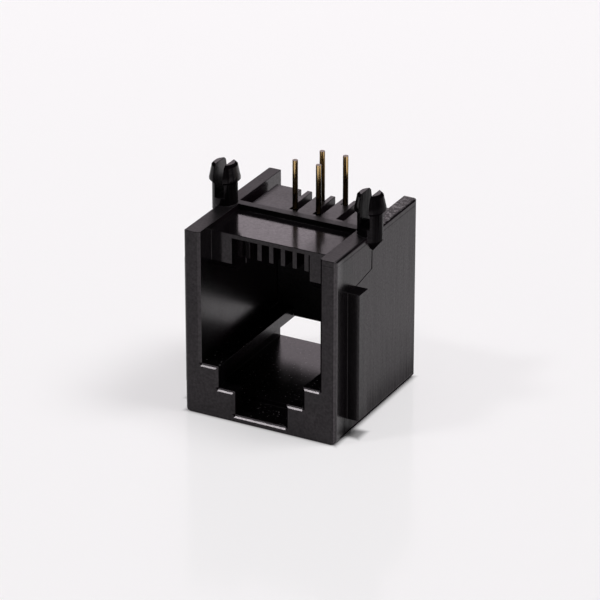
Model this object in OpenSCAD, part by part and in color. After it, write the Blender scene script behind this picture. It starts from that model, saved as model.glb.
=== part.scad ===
// Right-angle modular jack for a circuit board, six positions with four contacts.
// It lies on its latch side, with the mouth towards -Y and the board side and solder tails up.

/* [Body] */
// Width across the side walls
body_w = 13.1; // [12.4:0.1:15]
// Depth from the mouth to the back
body_d = 13.6; // [13.4:0.1:16]
// Height from the latch side to the board seat
body_h = 15.35; // [15:0.05:17]
// Rounding of the long edges on the latch side
base_r = 0.5; // [0.2:0.05:0.8]
// Rounding of the upright corners
corner_r = 0.3; // [0.1:0.05:0.5]
// Rounding of the long edges at the board seat
seat_r = 0.2; // [0.1:0.05:0.3]
// Depth of the fine groove at the mould parting line
seam_depth = 0.08; // [0.04:0.02:0.12]
// Width of that groove
seam_w = 0.14; // [0.06:0.02:0.2]

/* [Mouth] */
// Width of the plug cavity
cavity_w = 10.3; // [9.8:0.05:10.6]
// Drop of the cavity ceiling below the board seat
ceiling_drop = 3.75; // [3.5:0.05:4]
// Height of the ledges that the plug body rides on
ledge_z = 4.3; // [4:0.05:4.8]
// Thickness of the plug ledges behind the front frame
ledge_t = 0.95; // [0.8:0.05:1.3]
// Width of the latch room under the ledges
latch_room_w = 11; // [10.4:0.05:11.2]
// Thickness of the front frame that the plug latch hooks behind
frame_t = 1.3; // [1:0.05:1.8]
// Width of the upper keyway step
key_w = 7.4; // [6.6:0.05:8]
// Width of the latch slot
latch_w = 4.5; // [3.8:0.05:5]
// Height of the shoulder between the keyway and the latch slot
shoulder_z = 2.5; // [2:0.05:2.9]
// Thickness of the floor at the mouth
floor_t = 0.55; // [0.4:0.05:0.8]
// Height of the step up to the floor behind it
floor_step = 0.4; // [0.2:0.05:0.6]
// Set-back of that step behind the mouth
floor_set = 2.9; // [2.4:0.1:4]
// Lead-in chamfer round the mouth
lead = 0.2; // [0.08:0.02:0.24]
// Lead-in chamfer at the front of the ceiling
ceiling_lead = 0.8; // [0.4:0.05:1]

/* [Roof and comb] */
// Set-back of the roof behind the mouth
roof_set = 1.85; // [1.5:0.05:2.3]
// Drop of the roof below the board seat
roof_drop = 0.46; // [0.3:0.02:0.6]
// Thickness of the roof over the contacts
roof_t = 0.36; // [0.3:0.02:0.6]
// Set-back of the cross bar behind the mouth
bar_set = 6.2; // [6:0.05:6.4]
// Thickness of the cross bar
bar_t = 0.7; // [0.5:0.05:0.8]
// Width of the comb opening in the roof
comb_w = 6.7; // [6.6:0.05:7.4]
// Set-back of the comb teeth behind the roof's front edge
comb_set = 1.95; // [1.5:0.05:2.2]
// Thickness of a comb tooth
tooth_t = 0.4; // [0.3:0.02:0.46]
// Depth of a comb tooth
tooth_d = 1.7; // [1.2:0.05:1.8]
// Length that a comb tooth hangs below the roof
tooth_h = 2.4; // [1.8:0.05:2.6]

/* [Side flanges] */
// Height that a panel flange stands out of the side wall
flange_h = 1; // [0.4:0.05:1.2]
// Thickness of a panel flange
flange_t = 1.45; // [1:0.05:1.8]
// Set-back of the panel flanges behind the mouth
flange_set = 1.9; // [1.8:0.05:2.8]
// Height of the lower end of a flange
flange_z0 = 1.5; // [0.9:0.05:2]
// Drop of the upper end of a flange below the board seat
flange_drop = 3.25; // [3:0.05:5]

/* [Board pegs] */
// Distance of a peg's axis inside the side face
peg_inset = 0.275; // [0.2:0.025:0.4]
// Set-back of the pegs behind the mouth
peg_set = 6.1; // [5.8:0.05:6.6]
// Diameter of a peg
peg_d = 2; // [1.6:0.05:2.2]
// Diameter across the barbs
barb_d = 2.46; // [2.3:0.02:2.8]
// Diameter of the peg's tip
tip_d = 2.04; // [1.6:0.02:2.2]
// Height of the barbs above the board seat
barb_z = 2; // [1.7:0.05:2.4]
// Length of a peg above the board seat
peg_len = 3.36; // [3.2:0.02:4.2]
// Width of the slot that splits a peg
peg_slot = 0.8; // [0.5:0.05:0.9]
// Height of the slot's bottom above the board seat
slot_z = 0.65; // [0.4:0.05:1]
// Length of the peg's round root on the side wall
root_h = 0.5; // [0.3:0.05:0.8]
// Length of the taper under the root
taper_h = 0.9; // [0.6:0.05:1.2]

/* [Insert] */
// Thickness of the side walls beside the insert
rail_t = 1.15; // [0.9:0.05:1.25]
// Drop of the insert's board side below the board seat
insert_drop = 0.6; // [0.4:0.05:0.8]
// Depth of the insert's raised block
block_d = 5.2; // [5:0.05:5.4]
// Gap between the raised block and the side walls
block_gap = 0.4; // [0.2:0.05:0.6]
// Height of the ledges that carry the insert
seat_h = 1.2; // [0.9:0.05:1.3]
// Thickness of the insert's slab on the ledges
slab_t = 0.4; // [0.35:0.05:0.45]
// Thickness of the plate that closes the back
plate_t = 1.1; // [0.9:0.05:1.2]
// Height of the plate's lower edge above the latch side
plate_z = 3.5; // [3.2:0.05:4]
// Set-back of the plate from the back of the body
back_set = 0.1; // [0.05:0.05:0.3]
// Height of the contact tongue above the ledges
tongue_lift = 0.4; // [0.3:0.05:0.5]
// Thickness of the tongue that the contacts bend round
tongue_t = 0.5; // [0.4:0.02:0.6]
// Width of the open slots behind the front row of tails
slot_w = 0.66; // [0.56:0.02:0.7]
// Width of the short slots behind the rear row of tails
rear_slot_w = 0.54; // [0.5:0.02:0.58]
// Depth of the open slots
slot_h = 0.7; // [0.4:0.05:0.8]
// Clearance between the insert and the housing
fit = 0.04; // [0.02:0.01:0.08]

/* [Contacts] */
// Pitch of the contacts
pitch = 1.016; // [1:0.004:1.04]
// Diameter of the contact wire
wire_d = 0.43; // [0.4:0.01:0.5]
// Pitch of the two rows of solder tails
row_pitch = 2.54; // [2.4:0.02:2.6]
// Set-back of the front row of tails behind the mouth
tail_set = 8.68; // [8.6:0.02:8.8]
// Length of a tail above the board seat
tail_len = 3.45; // [2.8:0.05:4]
// Centre-line radius of the bend under a tail
bend_r = 0.4; // [0.34:0.02:0.44]
// Slope of the spring fingers
finger_angle = 27; // [24:1:30]
// Length of the spring fingers
finger_len = 6; // [5.4:0.1:6.4]
// Clearance of the wire in its ways
wire_fit = 0.02; // [0.01:0.005:0.03]

/* [Hidden] */
$fn = 48;
plastic = "#2b2a2c";
insert_plastic = "#302f31";
gold = "#b98e3c";

// Positions in the comb, and how many of them have a contact
positions = 6;
contacts = 4;
// A cut runs this far past the face that it opens.
past = 1;
// A raised form reaches this far into the wall that carries it.
sink = 0.2;
// Height of the straight band round a peg's barbs
barb_band = 0.14;
// Rise of the parting line from the flange to the peg
seam_rise = 0.4;
// The ball that joins a contact's hook and finger is this much wider than the wire.
ball_over = 0.006;
// Sizes worked out from the ones above
cavity_x = cavity_w / 2;
ceiling_z = body_h - ceiling_drop;
floor_z = floor_t + floor_step;
roof_z = body_h - roof_drop;
comb_top = roof_z - roof_t;
comb_y = roof_set + comb_set;
comb_back = comb_y + tooth_d;
comb_end_x = positions / 2 * pitch + tooth_t / 2;
bay_x = body_w / 2 - rail_t;
bay_y = bar_set + bar_t;
seat_z = ceiling_z + seat_h;
slab_top = seat_z + slab_t;
insert_top = body_h - insert_drop;
insert_front = bay_y + fit;
insert_back = body_d - back_set;
insert_x = bay_x - fit;
block_x = bay_x - block_gap;
block_back = insert_front + block_d;
plate_y = insert_back - plate_t;
plate_x = cavity_x - fit;
tab_x = key_w / 2 - fit;
tongue_x = comb_end_x - fit;
tongue_z = seat_z + tongue_lift;
tongue_top = tongue_z + tongue_t;
hook_r = tongue_t / 2 + wire_fit + wire_d / 2;
run_z = tongue_top + wire_fit + wire_d / 2;
nose_y = comb_back + fit + tongue_t / 2;
way_d = wire_d + 2 * wire_fit;
tail_low = run_z + bend_r;
tail_top = body_h + tail_len;
peg_x = body_w / 2 - peg_inset;
flange_back = flange_set + flange_t;
flange_top = body_h - flange_drop;

function contact_x(i) = (i - (contacts - 1) / 2) * pitch;
function in_rear_row(i) = abs(i) % 2 == 1;
function tail_y(i) = tail_set + (in_rear_row(i) ? row_pitch : 0);

// A block from one corner to the other
module block(low, high) {
    translate(low) cube(high - low);
}

// A block of half width x, centred across the jack
module across(x, y0, y1, z0, z1) {
    block([-x, y0, z0], [x, y1, z1]);
}

// The same shape on both sides of the jack
module both_sides() {
    children();
    mirror([1, 0, 0]) children();
}

// A flat outline in X and Z, given its depth along Y
module along_y(y0, y1) {
    translate([0, y1, 0]) rotate([90, 0, 0]) linear_extrude(y1 - y0) children();
}

// A flat outline in Y and Z, given its width along X
module along_x(x0, x1) {
    translate([x0, 0, 0]) rotate([90, 0, 90]) linear_extrude(x1 - x0) children();
}

// A rectangle whose four corners have radii of two kinds
module rounded(x0, y0, x1, y1, low_r, high_r) {
    for (x = [x0 + low_r, x1 - low_r]) translate([x, y0 + low_r]) circle(low_r);
    for (x = [x0 + high_r, x1 - high_r]) translate([x, y1 - high_r]) circle(high_r);
    translate([x0 + low_r, y0]) square([x1 - x0 - 2 * low_r, low_r]);
    translate([x0 + high_r, y1 - high_r]) square([x1 - x0 - 2 * high_r, high_r]);
    translate([x0, y0 + low_r]) square([x1 - x0, y1 - y0 - low_r - high_r]);
}

// The outer block, rounded in front view and in plan
module envelope() {
    intersection() {
        along_y(0, body_d) rounded(-body_w / 2, 0, body_w / 2, body_h, base_r, seat_r);
        linear_extrude(body_h) rounded(-body_w / 2, 0, body_w / 2, body_d, corner_r, corner_r);
    }
}

// The mouth's front view: plug opening, keyway and latch slot
module mouth_outline() {
    translate([-cavity_x, ledge_z]) square([cavity_w, body_h + past - ledge_z]);
    translate([-key_w / 2, shoulder_z]) square([key_w, body_h - shoulder_z]);
    translate([-latch_w / 2, floor_t]) square([latch_w, body_h - floor_t]);
}

// A chamfer along X on an edge that faces up and forward
module chamfer_x(x0, x1, z) {
    along_x(x0, x1) polygon([[-past, z + past], [-past, z - lead - past], [lead, z], [lead, z + past]]);
}

// Upright chamfers on both sides of an opening of width w
module chamfer_z(w, z0, z1) {
    translate([0, 0, z0]) linear_extrude(z1 - z0)
        polygon([[-w / 2 - lead - past, -past], [-w / 2, lead], [w / 2, lead], [w / 2 + lead + past, -past]]);
}

// The lead-in round the mouth, edge by edge
module mouth_lead() {
    chamfer_x(-cavity_x, cavity_x, ledge_z);
    chamfer_x(-key_w / 2, key_w / 2, shoulder_z);
    chamfer_x(-latch_w / 2, latch_w / 2, floor_t);
    chamfer_z(cavity_w, ledge_z, body_h + past);
    chamfer_z(key_w, shoulder_z, ledge_z);
    chamfer_z(latch_w, floor_t, shoulder_z);
}

// The space behind the front frame: plug cavity, ledges and latch room
module cavity() {
    under = ledge_z - ledge_t;
    across(cavity_x, frame_t - past, body_d + past, ledge_z, ceiling_z);
    across(key_w / 2, frame_t, body_d + past, floor_z, ledge_z + past);
    across(latch_room_w / 2, frame_t, body_d + past, floor_z, under);
    across(latch_room_w / 2, frame_t, floor_set, floor_t, under);
}

// The room over the plug: open front, top of the roof, contact room and the insert's bay
module upper_room() {
    across(cavity_x, -past, roof_set, ceiling_z - past, body_h + past);
    across(cavity_x, -past, bar_set, roof_z, body_h + past);
    across(comb_w / 2, roof_set - past, comb_y + sink, ceiling_z - past, comb_top);
    across(comb_end_x, roof_set, bay_y + past, ceiling_z - past, comb_top);
    across(bay_x, bay_y, body_d + past, seat_z, body_h + past);
    across(comb_end_x, bay_y, body_d + past, ceiling_z - past, seat_z + past);
    along_x(-cavity_x, cavity_x) polygon([
        [roof_set - past, ceiling_z - sink], [roof_set + ceiling_lead + sink, ceiling_z - sink],
        [roof_set - sink, ceiling_z + ceiling_lead + sink], [roof_set - past, ceiling_z + ceiling_lead + sink]]);
    across(cavity_x, plate_y, body_d + past, ceiling_z - past, slab_top + fit);
}

// The comb that keeps the contacts apart
module comb() {
    for (i = [0 : positions])
        translate([(i - positions / 2) * pitch - tooth_t / 2, comb_y, comb_top - tooth_h])
            cube([tooth_t, tooth_d, tooth_h + sink]);
}

// One split snap peg with its tapered root, on the right-hand wall
module peg() {
    r = peg_d / 2;
    tip = body_h + peg_len;
    barb = body_h + barb_z;
    root = body_h - root_h;
    crown = (barb_d - tip_d) / 2;
    difference() {
        translate([peg_x, peg_set, 0]) rotate_extrude() polygon([
            [0, root - taper_h], [peg_inset, root - taper_h], [r, root], [r, barb - (barb_d - peg_d) / 2],
            [barb_d / 2, barb], [barb_d / 2, barb + barb_band], [tip_d / 2, tip - crown],
            [tip_d / 2 - crown, tip], [0, tip]]);
        block([peg_x - peg_slot / 2, peg_set - barb_d, body_h + slot_z],
              [peg_x + peg_slot / 2, peg_set + barb_d, tip + past]);
    }
}

// One panel flange on the right-hand wall
module flange() {
    x = body_w / 2;
    block([x - sink, flange_set, flange_z0], [x + flange_h, flange_back, flange_top]);
}

// The fine groove at the mould's parting line, from the right-hand flange up to the peg
module seam_cut() {
    foot = [flange_back, flange_top];
    knee = [peg_set - peg_inset, flange_top + seam_rise];
    top = [knee[0], body_h - root_h];
    across_y = [seam_w, 0];
    along_x(body_w / 2 - seam_depth, body_w / 2 + past)
        polygon([foot, knee, top, top + across_y, knee + across_y, foot + across_y]);
}

module housing() {
    color(plastic) {
        difference() {
            envelope();
            along_y(-past, frame_t) mouth_outline();
            mouth_lead();
            cavity();
            upper_room();
            both_sides() seam_cut();
        }
        comb();
        both_sides() flange();
        both_sides() peg();
    }
}

// The way through the insert for one contact: its run, its bend and its tail
module contact_way(i) {
    x = contact_x(i);
    low = [x - way_d / 2, 0, tongue_top];
    block(low + [0, insert_front - past, 0], [x + way_d / 2, tail_y(i), run_z + way_d / 2]);
    block(low + [0, tail_y(i) - bend_r, 0], [x + way_d / 2, tail_y(i) + way_d / 2, tail_low]);
    translate([x, tail_y(i), run_z]) cylinder(h = insert_top + past - run_z, d = way_d);
}

// The open slot that runs back from one position to the back of the raised block
module open_slot(i) {
    x = contact_x(i);
    half = (in_rear_row(i) ? rear_slot_w : slot_w) / 2;
    block([x - half, tail_y(i) - half, insert_top - slot_h], [x + half, block_back + past, insert_top + past]);
}

// The tongue that the contacts bend round, with its round nose
module tongue() {
    along_x(-tongue_x, tongue_x) {
        translate([nose_y, tongue_z + tongue_t / 2]) circle(tongue_t / 2);
        translate([nose_y, tongue_z]) square([insert_front + past - nose_y, tongue_t]);
    }
}

module insert() {
    color(insert_plastic) difference() {
        union() {
            across(insert_x, insert_front, insert_back, seat_z, slab_top);
            across(block_x, insert_front, block_back, seat_z, insert_top);
            across(plate_x, plate_y + fit, insert_back, ledge_z + fit, slab_top);
            across(tab_x, plate_y + fit, insert_back, plate_z, ledge_z + past);
            tongue();
        }
        for (i = [0 : contacts - 1]) contact_way(i);
        for (i = [-1 : contacts]) open_slot(i);
    }
}

// One contact: solder tail, run over the tongue, hook round its nose and spring finger
module contact(i) {
    hook = 180 - finger_angle;
    run_back = tail_y(i) - bend_r;
    color(gold) translate([contact_x(i), 0, 0]) rotate([90, 0, 90]) {
        translate([tail_y(i), tail_low, 0]) rotate([-90, 0, 0]) cylinder(h = tail_top - tail_low, d = wire_d);
        translate([run_back, tail_low, 0]) rotate([0, 0, -90])
            rotate_extrude(angle = 90) translate([bend_r, 0]) circle(d = wire_d);
        translate([nose_y, run_z, 0]) rotate([0, 90, 0]) cylinder(h = run_back - nose_y, d = wire_d);
        translate([nose_y, run_z - hook_r, 0]) rotate([0, 0, 90]) {
            rotate_extrude(angle = hook) translate([hook_r, 0]) circle(d = wire_d);
            rotate([0, 0, hook]) translate([hook_r, 0, 0]) rotate([-90, 0, 0]) {
                sphere(d = wire_d + ball_over);
                cylinder(h = finger_len, d = wire_d);
            }
        }
    }
}

// The origin is under the middle of the body, on the latch side.
module placed() {
    translate([0, -body_d / 2, 0]) children();
}

placed() housing();
placed() insert();
placed() contact(0);  // contact_1
placed() contact(1);  // contact_2
placed() contact(2);  // contact_3
placed() contact(3);  // contact_4
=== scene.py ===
import math

import bpy
from mathutils import Matrix, Vector

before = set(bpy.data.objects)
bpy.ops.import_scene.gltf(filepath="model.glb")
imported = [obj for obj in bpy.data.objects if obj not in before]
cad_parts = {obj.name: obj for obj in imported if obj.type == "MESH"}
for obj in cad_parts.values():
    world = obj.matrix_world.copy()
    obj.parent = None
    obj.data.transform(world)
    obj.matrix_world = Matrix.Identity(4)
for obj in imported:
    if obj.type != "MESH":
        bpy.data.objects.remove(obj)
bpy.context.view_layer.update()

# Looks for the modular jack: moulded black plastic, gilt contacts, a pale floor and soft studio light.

MM = 0.001

# Places on the part: half its width and depth, its front, the board seat, the roof, the front end of the rails,
# how far the peg bosses reach down from the seat, and half the size and the middle of the flanges seen from above.
# The body and the flanges also place the painted shadow on the floor.
BODY = (6.55 * MM, 6.8 * MM)
FRONT = -BODY[1]
SEAT = 15.35 * MM
ROOF = SEAT - 0.46 * MM
RAIL_START = 0.6 * MM
BOSS_REACH = 2 * MM
FLANGE = (7.55 * MM, 0.75 * MM)
FLANGE_AT = (0.0, -4.2 * MM)
LEVEL = 0.03 * MM  # how near a face lies to a level that it is taken to lie on

# Plastic: the painted mauve reflection on the faces turned right, the dust with the painted glints on the right-hand
# rail, and the tint of its gloss
PAINTED_SIDE_TINT = (0.0095, 0.005, 0.0077)
DUST_AND_GLINTS = (0.2, 0.188, 0.193)
GLOSS_TINT = (1.0, 0.92, 0.97, 1)

# Gloss of the plastic, of the pegs and of the inner half of the chamfers
GLOSS = 0.26
PEG_GLOSS = 0.07
CHAMFER_GLOSS = 0.02

# What is added to the gloss at the right-hand rim, on the wall inside on the left, on the lower half of the sides,
# at their foot, on what faces down, in the mouth and in front; across the roof, in the streaks, and times the mottle
RIM_GLOSS = 0.45
WALL_GLOSS = 0.3
LOW_GLOSS = -0.1
FOOT_GLOSS = -0.08
UNDER_GLOSS = -0.2
MOUTH_GLOSS = -0.12
FRONT_GLOSS = 0.07
ROOF_GLOSS = (-0.04, -0.18)
STREAK_GLOSS = (-0.13, 0.07)
MOTTLE = (0.4, 1.6)

# Gilt wire, from the painted highlight where it faces the eye to the painted shade where it turns away
GILT_PAINTED_SHADING = (
    (0.2, (0.75, 0.53, 0.25)),
    (0.42, (0.5, 0.33, 0.13)),
    (0.62, (0.05, 0.032, 0.014)),
    (1.0, (0.02, 0.013, 0.006)),
)

# Small roundings on the square edges, and what is shaded flat: sharper bends and larger faces than these
EDGE_WIDTH = 0.035 * MM
EDGE_ANGLE = math.radians(66)
FLAT_ANGLE = math.radians(16)
FLAT_AREA = 0.6 * MM ** 2

# Camera, solved from the photograph
VIEW_AZ = math.radians(28.01)
VIEW_EL = math.radians(25.215)
VIEW_DISTANCE = 292.323 * MM
VIEW_TARGET = Vector((0.317, -0.8, 8.444)) * MM
SENSOR = 36.0
FOCAL = 3790.442 / 600 * SENSOR

# The floor is evenly pale near the part and fades into the room between these distances, a pool of light painted
# into its colour and glow
FLOOR_SIZE = 1.5
FLOOR_LIT = 0.11
FLOOR_DARK = 0.28
FLOOR_COLOUR = ((0.0, (0.46, 0.452, 0.457)), (1.0, (0.2, 0.198, 0.2)))
FLOOR_GLOW = ((0.0, (0.5, 0.491, 0.4975)), (1.0, (0.05, 0.05, 0.05)))

# Brightness of the dim room, then its lights: direction, angles of the full and the outer edge in degrees,
# and colour times strength
ROOM = 0.15
LIGHTS = (
    ((-0.425, -0.426, 0.799), 2.5, 5.5, (30.0, 30.0, 30.0)),
    ((0.45, 0.20, 0.87), 6, 15, (12.0, 12.0, 12.0)),
    ((0.0, 0.0, 1.0), 10, 35, (0.7, 0.7, 0.7)),
    ((-0.425, 0.799, 0.426), 6, 14, (2.3, 2.03, 2.19)),
)


def make_camera():
    level = math.cos(VIEW_EL)
    back = Vector((math.sin(VIEW_AZ) * level, -math.cos(VIEW_AZ) * level, math.sin(VIEW_EL)))
    right = Vector((math.cos(VIEW_AZ), math.sin(VIEW_AZ), 0))
    up = back.cross(right)
    data = bpy.data.cameras.new("camera")
    data.sensor_width = SENSOR
    data.lens = FOCAL
    data.clip_start = 0.01
    camera = bpy.data.objects.new("camera", data)
    turn = Matrix((right, up, back)).transposed().to_4x4()
    camera.matrix_world = Matrix.Translation(VIEW_TARGET + back * VIEW_DISTANCE) @ turn
    bpy.context.scene.collection.objects.link(camera)
    bpy.context.scene.camera = camera


class Nodes:
    """A short way to build a node tree."""

    def __init__(self, tree):
        self.tree = tree
        tree.nodes.clear()

    def add(self, kind, **values):
        made = self.tree.nodes.new(kind)
        for name, value in values.items():
            setattr(made, name, value)
        return made

    def join(self, a, b):
        self.tree.links.new(a, b)


def new_material(name):
    """A material with an empty node tree, its nodes and its shader."""
    material = bpy.data.materials.new(name)
    material.use_nodes = True
    n = Nodes(material.node_tree)
    out = n.add("ShaderNodeOutputMaterial")
    shader = n.add("ShaderNodeBsdfPrincipled")
    n.join(shader.outputs["BSDF"], out.inputs["Surface"])
    return material, n, shader


def noise(n, where, scale, detail, roughness):
    made = n.add("ShaderNodeTexNoise")
    made.inputs["Scale"].default_value = scale
    made.inputs["Detail"].default_value = detail
    made.inputs["Roughness"].default_value = roughness
    n.join(where, made.inputs["Vector"])
    return made.outputs["Fac"]


def ramp(n, value, stops):
    made = n.add("ShaderNodeValToRGB")
    while len(made.color_ramp.elements) < len(stops):
        made.color_ramp.elements.new(0.5)
    for element, (place, colour) in zip(made.color_ramp.elements, stops):
        element.position = place
        element.color = (*colour, 1)
    n.join(value, made.inputs["Fac"])
    return made.outputs["Color"]


def spread(n, value, low, high):
    """A value from zero to one, spread between two others."""
    made = n.add("ShaderNodeMapRange")
    made.inputs["To Min"].default_value = low
    made.inputs["To Max"].default_value = high
    n.join(value, made.inputs["Value"])
    return made.outputs["Result"]


def step(n, value, start, end):
    """A smooth rise from zero to one between two values, or a fall if the start is over the end."""
    made = n.add("ShaderNodeMapRange", interpolation_type="SMOOTHSTEP")
    made.inputs["From Min"].default_value = start
    made.inputs["From Max"].default_value = end
    n.join(value, made.inputs["Value"])
    return made.outputs["Result"]


def mask(n, value, operation, limit, reach=0.0):
    """One where a value lies over, under or near a limit, else zero."""
    made = n.add("ShaderNodeMath", operation=operation)
    made.inputs[1].default_value = limit
    made.inputs[2].default_value = reach
    n.join(value, made.inputs[0])
    return made.outputs["Value"]


def add_share(n, value, share, base):
    """A base value, and a share of another one on top."""
    made = n.add("ShaderNodeMath", operation="MULTIPLY_ADD")
    made.inputs[1].default_value = share
    n.join(value, made.inputs[0])
    n.join(base, made.inputs[2])
    return made.outputs["Value"]


def pair(n, operation, a, b):
    made = n.add("ShaderNodeMath", operation=operation)
    n.join(a, made.inputs[0])
    n.join(b, made.inputs[1])
    return made.outputs["Value"]


def both(n, a, b):
    """One where two masks overlap, or a value where a mask is one."""
    return pair(n, "MULTIPLY", a, b)


def either(n, a, b):
    """One where either mask is one."""
    return pair(n, "MAXIMUM", a, b)


def parts(n, vector):
    made = n.add("ShaderNodeSeparateXYZ")
    n.join(vector, made.inputs["Vector"])
    return made.outputs["X"], made.outputs["Y"], made.outputs["Z"]


def moulded_plastic(name, dark, light, rough_low, rough_high, seat_rough, wall_rough, grain, dust_top):
    """Black moulded plastic: fine grain, faint flow marks, uneven gloss and a little dust, with painted glints on
    the right-hand rail and a painted mauve reflection on the faces turned right.
    """
    material, n, shader = new_material(name)
    space = n.add("ShaderNodeTexCoord")
    where = space.outputs["Object"]
    x, y, z = parts(n, where)
    facing_x, facing_y, facing_z = parts(n, space.outputs["Normal"])
    flow = noise(n, where, 260, 3, 0.6)
    fine = noise(n, where, 5200, 2, 0.5)

    # Where the skin differs
    on_right = mask(n, x, "GREATER_THAN", 0.0)
    on_left = mask(n, x, "LESS_THAN", 0.0)
    sideways = mask(n, facing_x, "GREATER_THAN", 0.7)
    in_mouth = both(n, mask(n, facing_z, "GREATER_THAN", 0.8), mask(n, z, "LESS_THAN", dust_top))
    at_seat = mask(n, z, "COMPARE", SEAT, LEVEL)
    on_roof = mask(n, z, "COMPARE", ROOF, LEVEL)
    on_rail = both(n, both(n, at_seat, mask(n, y, "GREATER_THAN", RAIL_START)), on_right)
    out_from_middle = n.add("ShaderNodeMath", operation="ABSOLUTE")
    n.join(x, out_from_middle.inputs[0])
    beside = mask(n, out_from_middle.outputs["Value"], "GREATER_THAN", BODY[0] + 0.02 * MM)
    on_boss = both(n, beside, mask(n, z, "GREATER_THAN", SEAT - BOSS_REACH))
    on_peg = either(n, on_boss, mask(n, z, "GREATER_THAN", SEAT + 2 * LEVEL))

    # Colour: a painted mauve reflection on the faces turned right behind the rim, with specks of dust low in the
    # mouth and painted glints on the right-hand rail
    # Painted glints: the light specks on the right-hand rail stand in for the sparkle of its rough top; the specks
    # low in the mouth are dust.
    dust_and_glint_specks = step(n, add_share(n, on_rail, 0.12, noise(n, where, 4200, 3, 0.65)), 0.6, 0.72)
    tone = add_share(n, both(n, dust_and_glint_specks, either(n, on_rail, in_mouth)), 0.5, spread(n, flow, 0.25, 0.55))
    # Painted reflection: faces turned right behind the rim, away from the pegs, take a lighter mauve tint.
    behind_rim = both(n, sideways, step(n, y, FRONT + 1.4 * MM, FRONT + 3.2 * MM))
    tone = add_share(n, both(n, behind_rim, mask(n, on_peg, "LESS_THAN", 0.5)), -0.3, tone)
    shades = ((0.0, PAINTED_SIDE_TINT), (0.34, dark), (0.46, light), (0.56, light), (1.0, DUST_AND_GLINTS))
    n.join(ramp(n, tone, shades), shader.inputs["Base Color"])

    # Roughness: duller at the board seat, on the sides and low in the mouth
    rough = add_share(n, at_seat, seat_rough, spread(n, flow, rough_low, rough_high))
    rough = add_share(n, either(n, sideways, in_mouth), wall_rough, rough)
    n.join(rough, shader.inputs["Roughness"])

    # Gloss: each place adds its own share, with upright streaks on the sides and a fine mottle over all
    gloss = spread(n, on_peg, GLOSS, PEG_GLOSS)
    inner_half = mask(n, add_share(n, fine, 0.1 * MM, y), "GREATER_THAN", FRONT + 0.15 * MM)
    chamfer = both(n, inner_half, mask(n, facing_z, "COMPARE", 0.707, 0.05))
    rim = both(n, on_right, step(n, y, FRONT + 1.4 * MM, FRONT + 0.1 * MM))
    drawn = n.add("ShaderNodeMapping")
    drawn.inputs["Scale"].default_value = (1.0, 1.0, 0.04)
    n.join(where, drawn.inputs["Vector"])
    streaks = spread(n, noise(n, drawn.outputs["Vector"], 3500, 3, 0.6), *STREAK_GLOSS)
    across_roof = spread(n, step(n, x, 1.6 * MM, 3.6 * MM), *ROOF_GLOSS)
    for place, share in (
        (chamfer, CHAMFER_GLOSS - GLOSS),
        (both(n, rim, mask(n, facing_x, "GREATER_THAN", 0.3)), RIM_GLOSS),
        (both(n, sideways, on_left), WALL_GLOSS),
        (both(n, sideways, step(n, z, 7 * MM, 0.0)), LOW_GLOSS),
        (both(n, sideways, step(n, z, 3.2 * MM, 0.6 * MM)), FOOT_GLOSS),
        (mask(n, facing_z, "LESS_THAN", -0.15), UNDER_GLOSS),
        (both(n, on_roof, across_roof), 1.0),
        (in_mouth, MOUTH_GLOSS),
        (mask(n, facing_y, "LESS_THAN", -0.8), FRONT_GLOSS),
        (both(n, sideways, streaks), 1.0),
    ):
        gloss = add_share(n, place, share, gloss)
    gloss = pair(n, "MULTIPLY", gloss, spread(n, fine, *MOTTLE))
    n.join(gloss, shader.inputs["Specular IOR Level"])
    shader.inputs["Specular Tint"].default_value = GLOSS_TINT

    skin = n.add("ShaderNodeBump")
    skin.inputs["Strength"].default_value = grain
    skin.inputs["Distance"].default_value = 0.01 * MM
    n.join(fine, skin.inputs["Height"])
    n.join(skin.outputs["Normal"], shader.inputs["Normal"])
    return material


def gilt(name):
    """Thin bright plating with darker patches, with a painted highlight where the wire faces the eye and painted
    shade towards its sides and down near the comb.
    """
    material, n, shader = new_material(name)
    where = n.add("ShaderNodeTexCoord").outputs["Object"]
    _, _, z = parts(n, where)
    patches = noise(n, where, 900, 3, 0.6)
    turned = n.add("ShaderNodeLayerWeight").outputs["Facing"]
    low = n.add("ShaderNodeMapRange")
    for socket, value in (("From Min", 13 * MM), ("From Max", 17.5 * MM), ("To Min", 0.3), ("To Max", 0.0)):
        low.inputs[socket].default_value = value
    n.join(z, low.inputs["Value"])
    # Painted light: the wire is lighter where it faces the eye and painted darker towards its sides and lower down.
    shade = add_share(n, patches, 0.35, add_share(n, low.outputs["Result"], 1.0, turned))
    n.join(ramp(n, shade, GILT_PAINTED_SHADING), shader.inputs["Base Color"])
    n.join(spread(n, patches, 0.08, 0.16), shader.inputs["Roughness"])
    shader.inputs["Metallic"].default_value = 1.0
    return material


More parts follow.
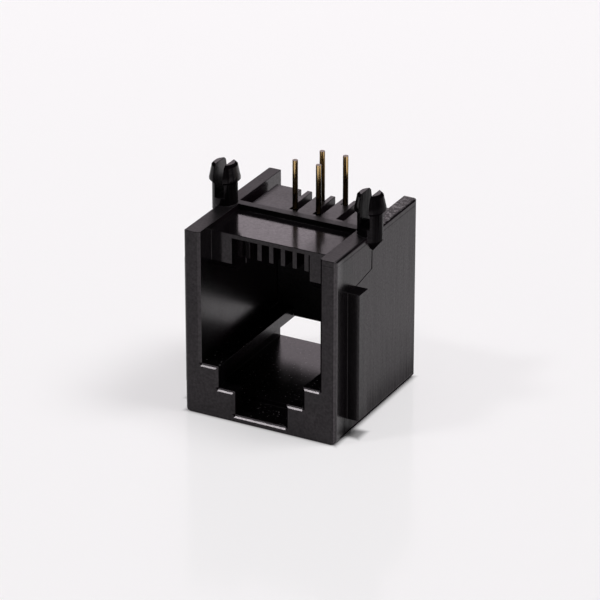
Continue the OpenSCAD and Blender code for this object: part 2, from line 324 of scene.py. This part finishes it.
def shade_flats():
    """A geometry node group that shades small faces smooth across gentle bends, and the large and the sharp flat."""
    group = bpy.data.node_groups.new("shade_flats", "GeometryNodeTree")
    group.interface.new_socket("Geometry", in_out="INPUT", socket_type="NodeSocketGeometry")
    group.interface.new_socket("Geometry", in_out="OUTPUT", socket_type="NodeSocketGeometry")
    n = Nodes(group)
    start = n.add("NodeGroupInput")
    end = n.add("NodeGroupOutput")
    all_smooth = n.add("GeometryNodeSetShadeSmooth", domain="FACE")
    flat = n.add("GeometryNodeSetShadeSmooth", domain="EDGE")
    flat.inputs["Shade Smooth"].default_value = False
    sharp_or_large = n.add("FunctionNodeBooleanMath", operation="OR")
    for slot, (kind, output, over) in enumerate((
        ("GeometryNodeInputMeshEdgeAngle", "Unsigned Angle", FLAT_ANGLE),
        ("GeometryNodeInputMeshFaceArea", "Area", FLAT_AREA),
    )):
        test = n.add("FunctionNodeCompare", data_type="FLOAT", operation="GREATER_THAN")
        test.inputs["B"].default_value = over
        n.join(n.add(kind).outputs[output], test.inputs["A"])
        n.join(test.outputs["Result"], sharp_or_large.inputs[slot])
    n.join(sharp_or_large.outputs["Boolean"], flat.inputs["Selection"])
    n.join(start.outputs["Geometry"], all_smooth.inputs["Geometry"])
    n.join(all_smooth.outputs["Geometry"], flat.inputs["Geometry"])
    n.join(flat.outputs["Geometry"], end.inputs["Geometry"])
    return group


def soften(obj, shading):
    """Small moulded roundings on the square edges of a CAD node, with the flat faces kept flat."""
    weld = obj.modifiers.new("weld", "WELD")
    weld.merge_threshold = 0.001 * MM
    flat = obj.modifiers.new("flat", "DECIMATE")
    flat.decimate_type = "DISSOLVE"
    flat.angle_limit = math.radians(0.5)
    bevel = obj.modifiers.new("edges", "BEVEL")
    bevel.width = EDGE_WIDTH
    bevel.segments = 2
    bevel.limit_method = "ANGLE"
    bevel.angle_limit = EDGE_ANGLE
    bevel.use_clamp_overlap = False
    smooth = obj.modifiers.new("shading", "NODES")
    smooth.node_group = shading


def dress():
    """Materials on every CAD node, and soft edges on the two mouldings."""
    housing = moulded_plastic(
        "black_plastic", dark=(0.0024, 0.0018, 0.0023), light=(0.0038, 0.003, 0.0037),
        rough_low=0.1, rough_high=0.18, seat_rough=0.3, wall_rough=0.08, grain=0.15, dust_top=9 * MM,
    )
    insert = moulded_plastic(
        "insert_plastic", dark=(0.0048, 0.004, 0.0046), light=(0.0075, 0.0064, 0.0072),
        rough_low=0.3, rough_high=0.4, seat_rough=0.0, wall_rough=0.0, grain=0.3, dust_top=0.0,
    )
    gold = gilt("gilt_wire")
    for name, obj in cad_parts.items():
        obj.data.materials.clear()
        obj.data.materials.append({"housing": housing, "insert": insert}.get(name, gold))
    shading = shade_flats()
    for name in ("housing", "insert"):
        soften(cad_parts[name], shading)


def beyond(n, where, centre, half):
    """How far a place lies outside an upright block, seen from above."""
    shifted = n.add("ShaderNodeVectorMath", operation="SUBTRACT")
    shifted.inputs[1].default_value = (*centre, 0)
    n.join(where, shifted.inputs[0])
    size = n.add("ShaderNodeVectorMath", operation="ABSOLUTE")
    n.join(shifted.outputs["Vector"], size.inputs[0])
    over = n.add("ShaderNodeVectorMath", operation="SUBTRACT")
    over.inputs[1].default_value = (*half, 0)
    n.join(size.outputs["Vector"], over.inputs[0])
    x, y, _ = parts(n, over.outputs["Vector"])
    return pair(n, "MAXIMUM", x, y)


def make_floor():
    """A pale floor with a faint glow of its own, both fading far out as a painted pool of light; the glow stops at
    the foot of the part and under its flanges as a painted shadow.
    """
    s = FLOOR_SIZE
    mesh = bpy.data.meshes.new("floor")
    mesh.from_pydata([(-s, -s, 0), (s, -s, 0), (s, s, 0), (-s, s, 0)], [], [(0, 1, 2, 3)])
    floor = bpy.data.objects.new("floor", mesh)
    bpy.context.scene.collection.objects.link(floor)
    material, n, shader = new_material("pale_floor")
    where = n.add("ShaderNodeTexCoord").outputs["Object"]
    away = n.add("ShaderNodeVectorMath", operation="LENGTH")
    n.join(where, away.inputs[0])
    far = step(n, away.outputs["Value"], FLOOR_LIT, FLOOR_DARK)
    n.join(ramp(n, far, FLOOR_COLOUR), shader.inputs["Base Color"])
    n.join(ramp(n, far, FLOOR_GLOW), shader.inputs["Emission Color"])
    # Painted shadow: the glow fades out at the foot of the part and under its flanges.
    glow_outside_painted_shadow = both(
        n,
        step(n, beyond(n, where, (0.0, 0.0), BODY), -0.3 * MM, 0.35 * MM),
        step(n, beyond(n, where, FLANGE_AT, FLANGE), -0.35 * MM, 0.35 * MM),
    )
    n.join(glow_outside_painted_shadow, shader.inputs["Emission Strength"])
    shader.inputs["Roughness"].default_value = 0.12
    shader.inputs["Specular IOR Level"].default_value = 0.03
    mesh.materials.append(material)


def glow(n, where, direction, inner, outer, colour):
    """A soft round light in the sky, full inside one angle and gone outside the other, in degrees."""
    along = n.add("ShaderNodeVectorMath", operation="DOT_PRODUCT")
    along.inputs[1].default_value = Vector(direction).normalized()
    n.join(where, along.inputs[0])
    light = n.add("ShaderNodeBackground")
    light.inputs["Color"].default_value = (*colour, 1)
    edge = (math.cos(math.radians(outer)), math.cos(math.radians(inner)))
    n.join(step(n, along.outputs["Value"], *edge), light.inputs["Strength"])
    return light.outputs["Background"]


def make_world():
    """A dim studio with a hard and a soft overhead light on two sides, and a bright wall behind on the left."""
    world = bpy.data.worlds.new("studio")
    bpy.context.scene.world = world
    world.use_nodes = True
    n = Nodes(world.node_tree)
    out = n.add("ShaderNodeOutputWorld")
    room = n.add("ShaderNodeBackground")
    room.inputs["Strength"].default_value = ROOM
    where = n.add("ShaderNodeTexCoord").outputs["Generated"]
    total = room.outputs["Background"]
    for light in LIGHTS:
        more = n.add("ShaderNodeAddShader")
        n.join(total, more.inputs[0])
        n.join(glow(n, where, *light), more.inputs[1])
        total = more.outputs["Shader"]
    n.join(total, out.inputs["Surface"])


bpy.context.scene.view_settings.view_transform = "Standard"
make_camera()
dress()
make_floor()
make_world()
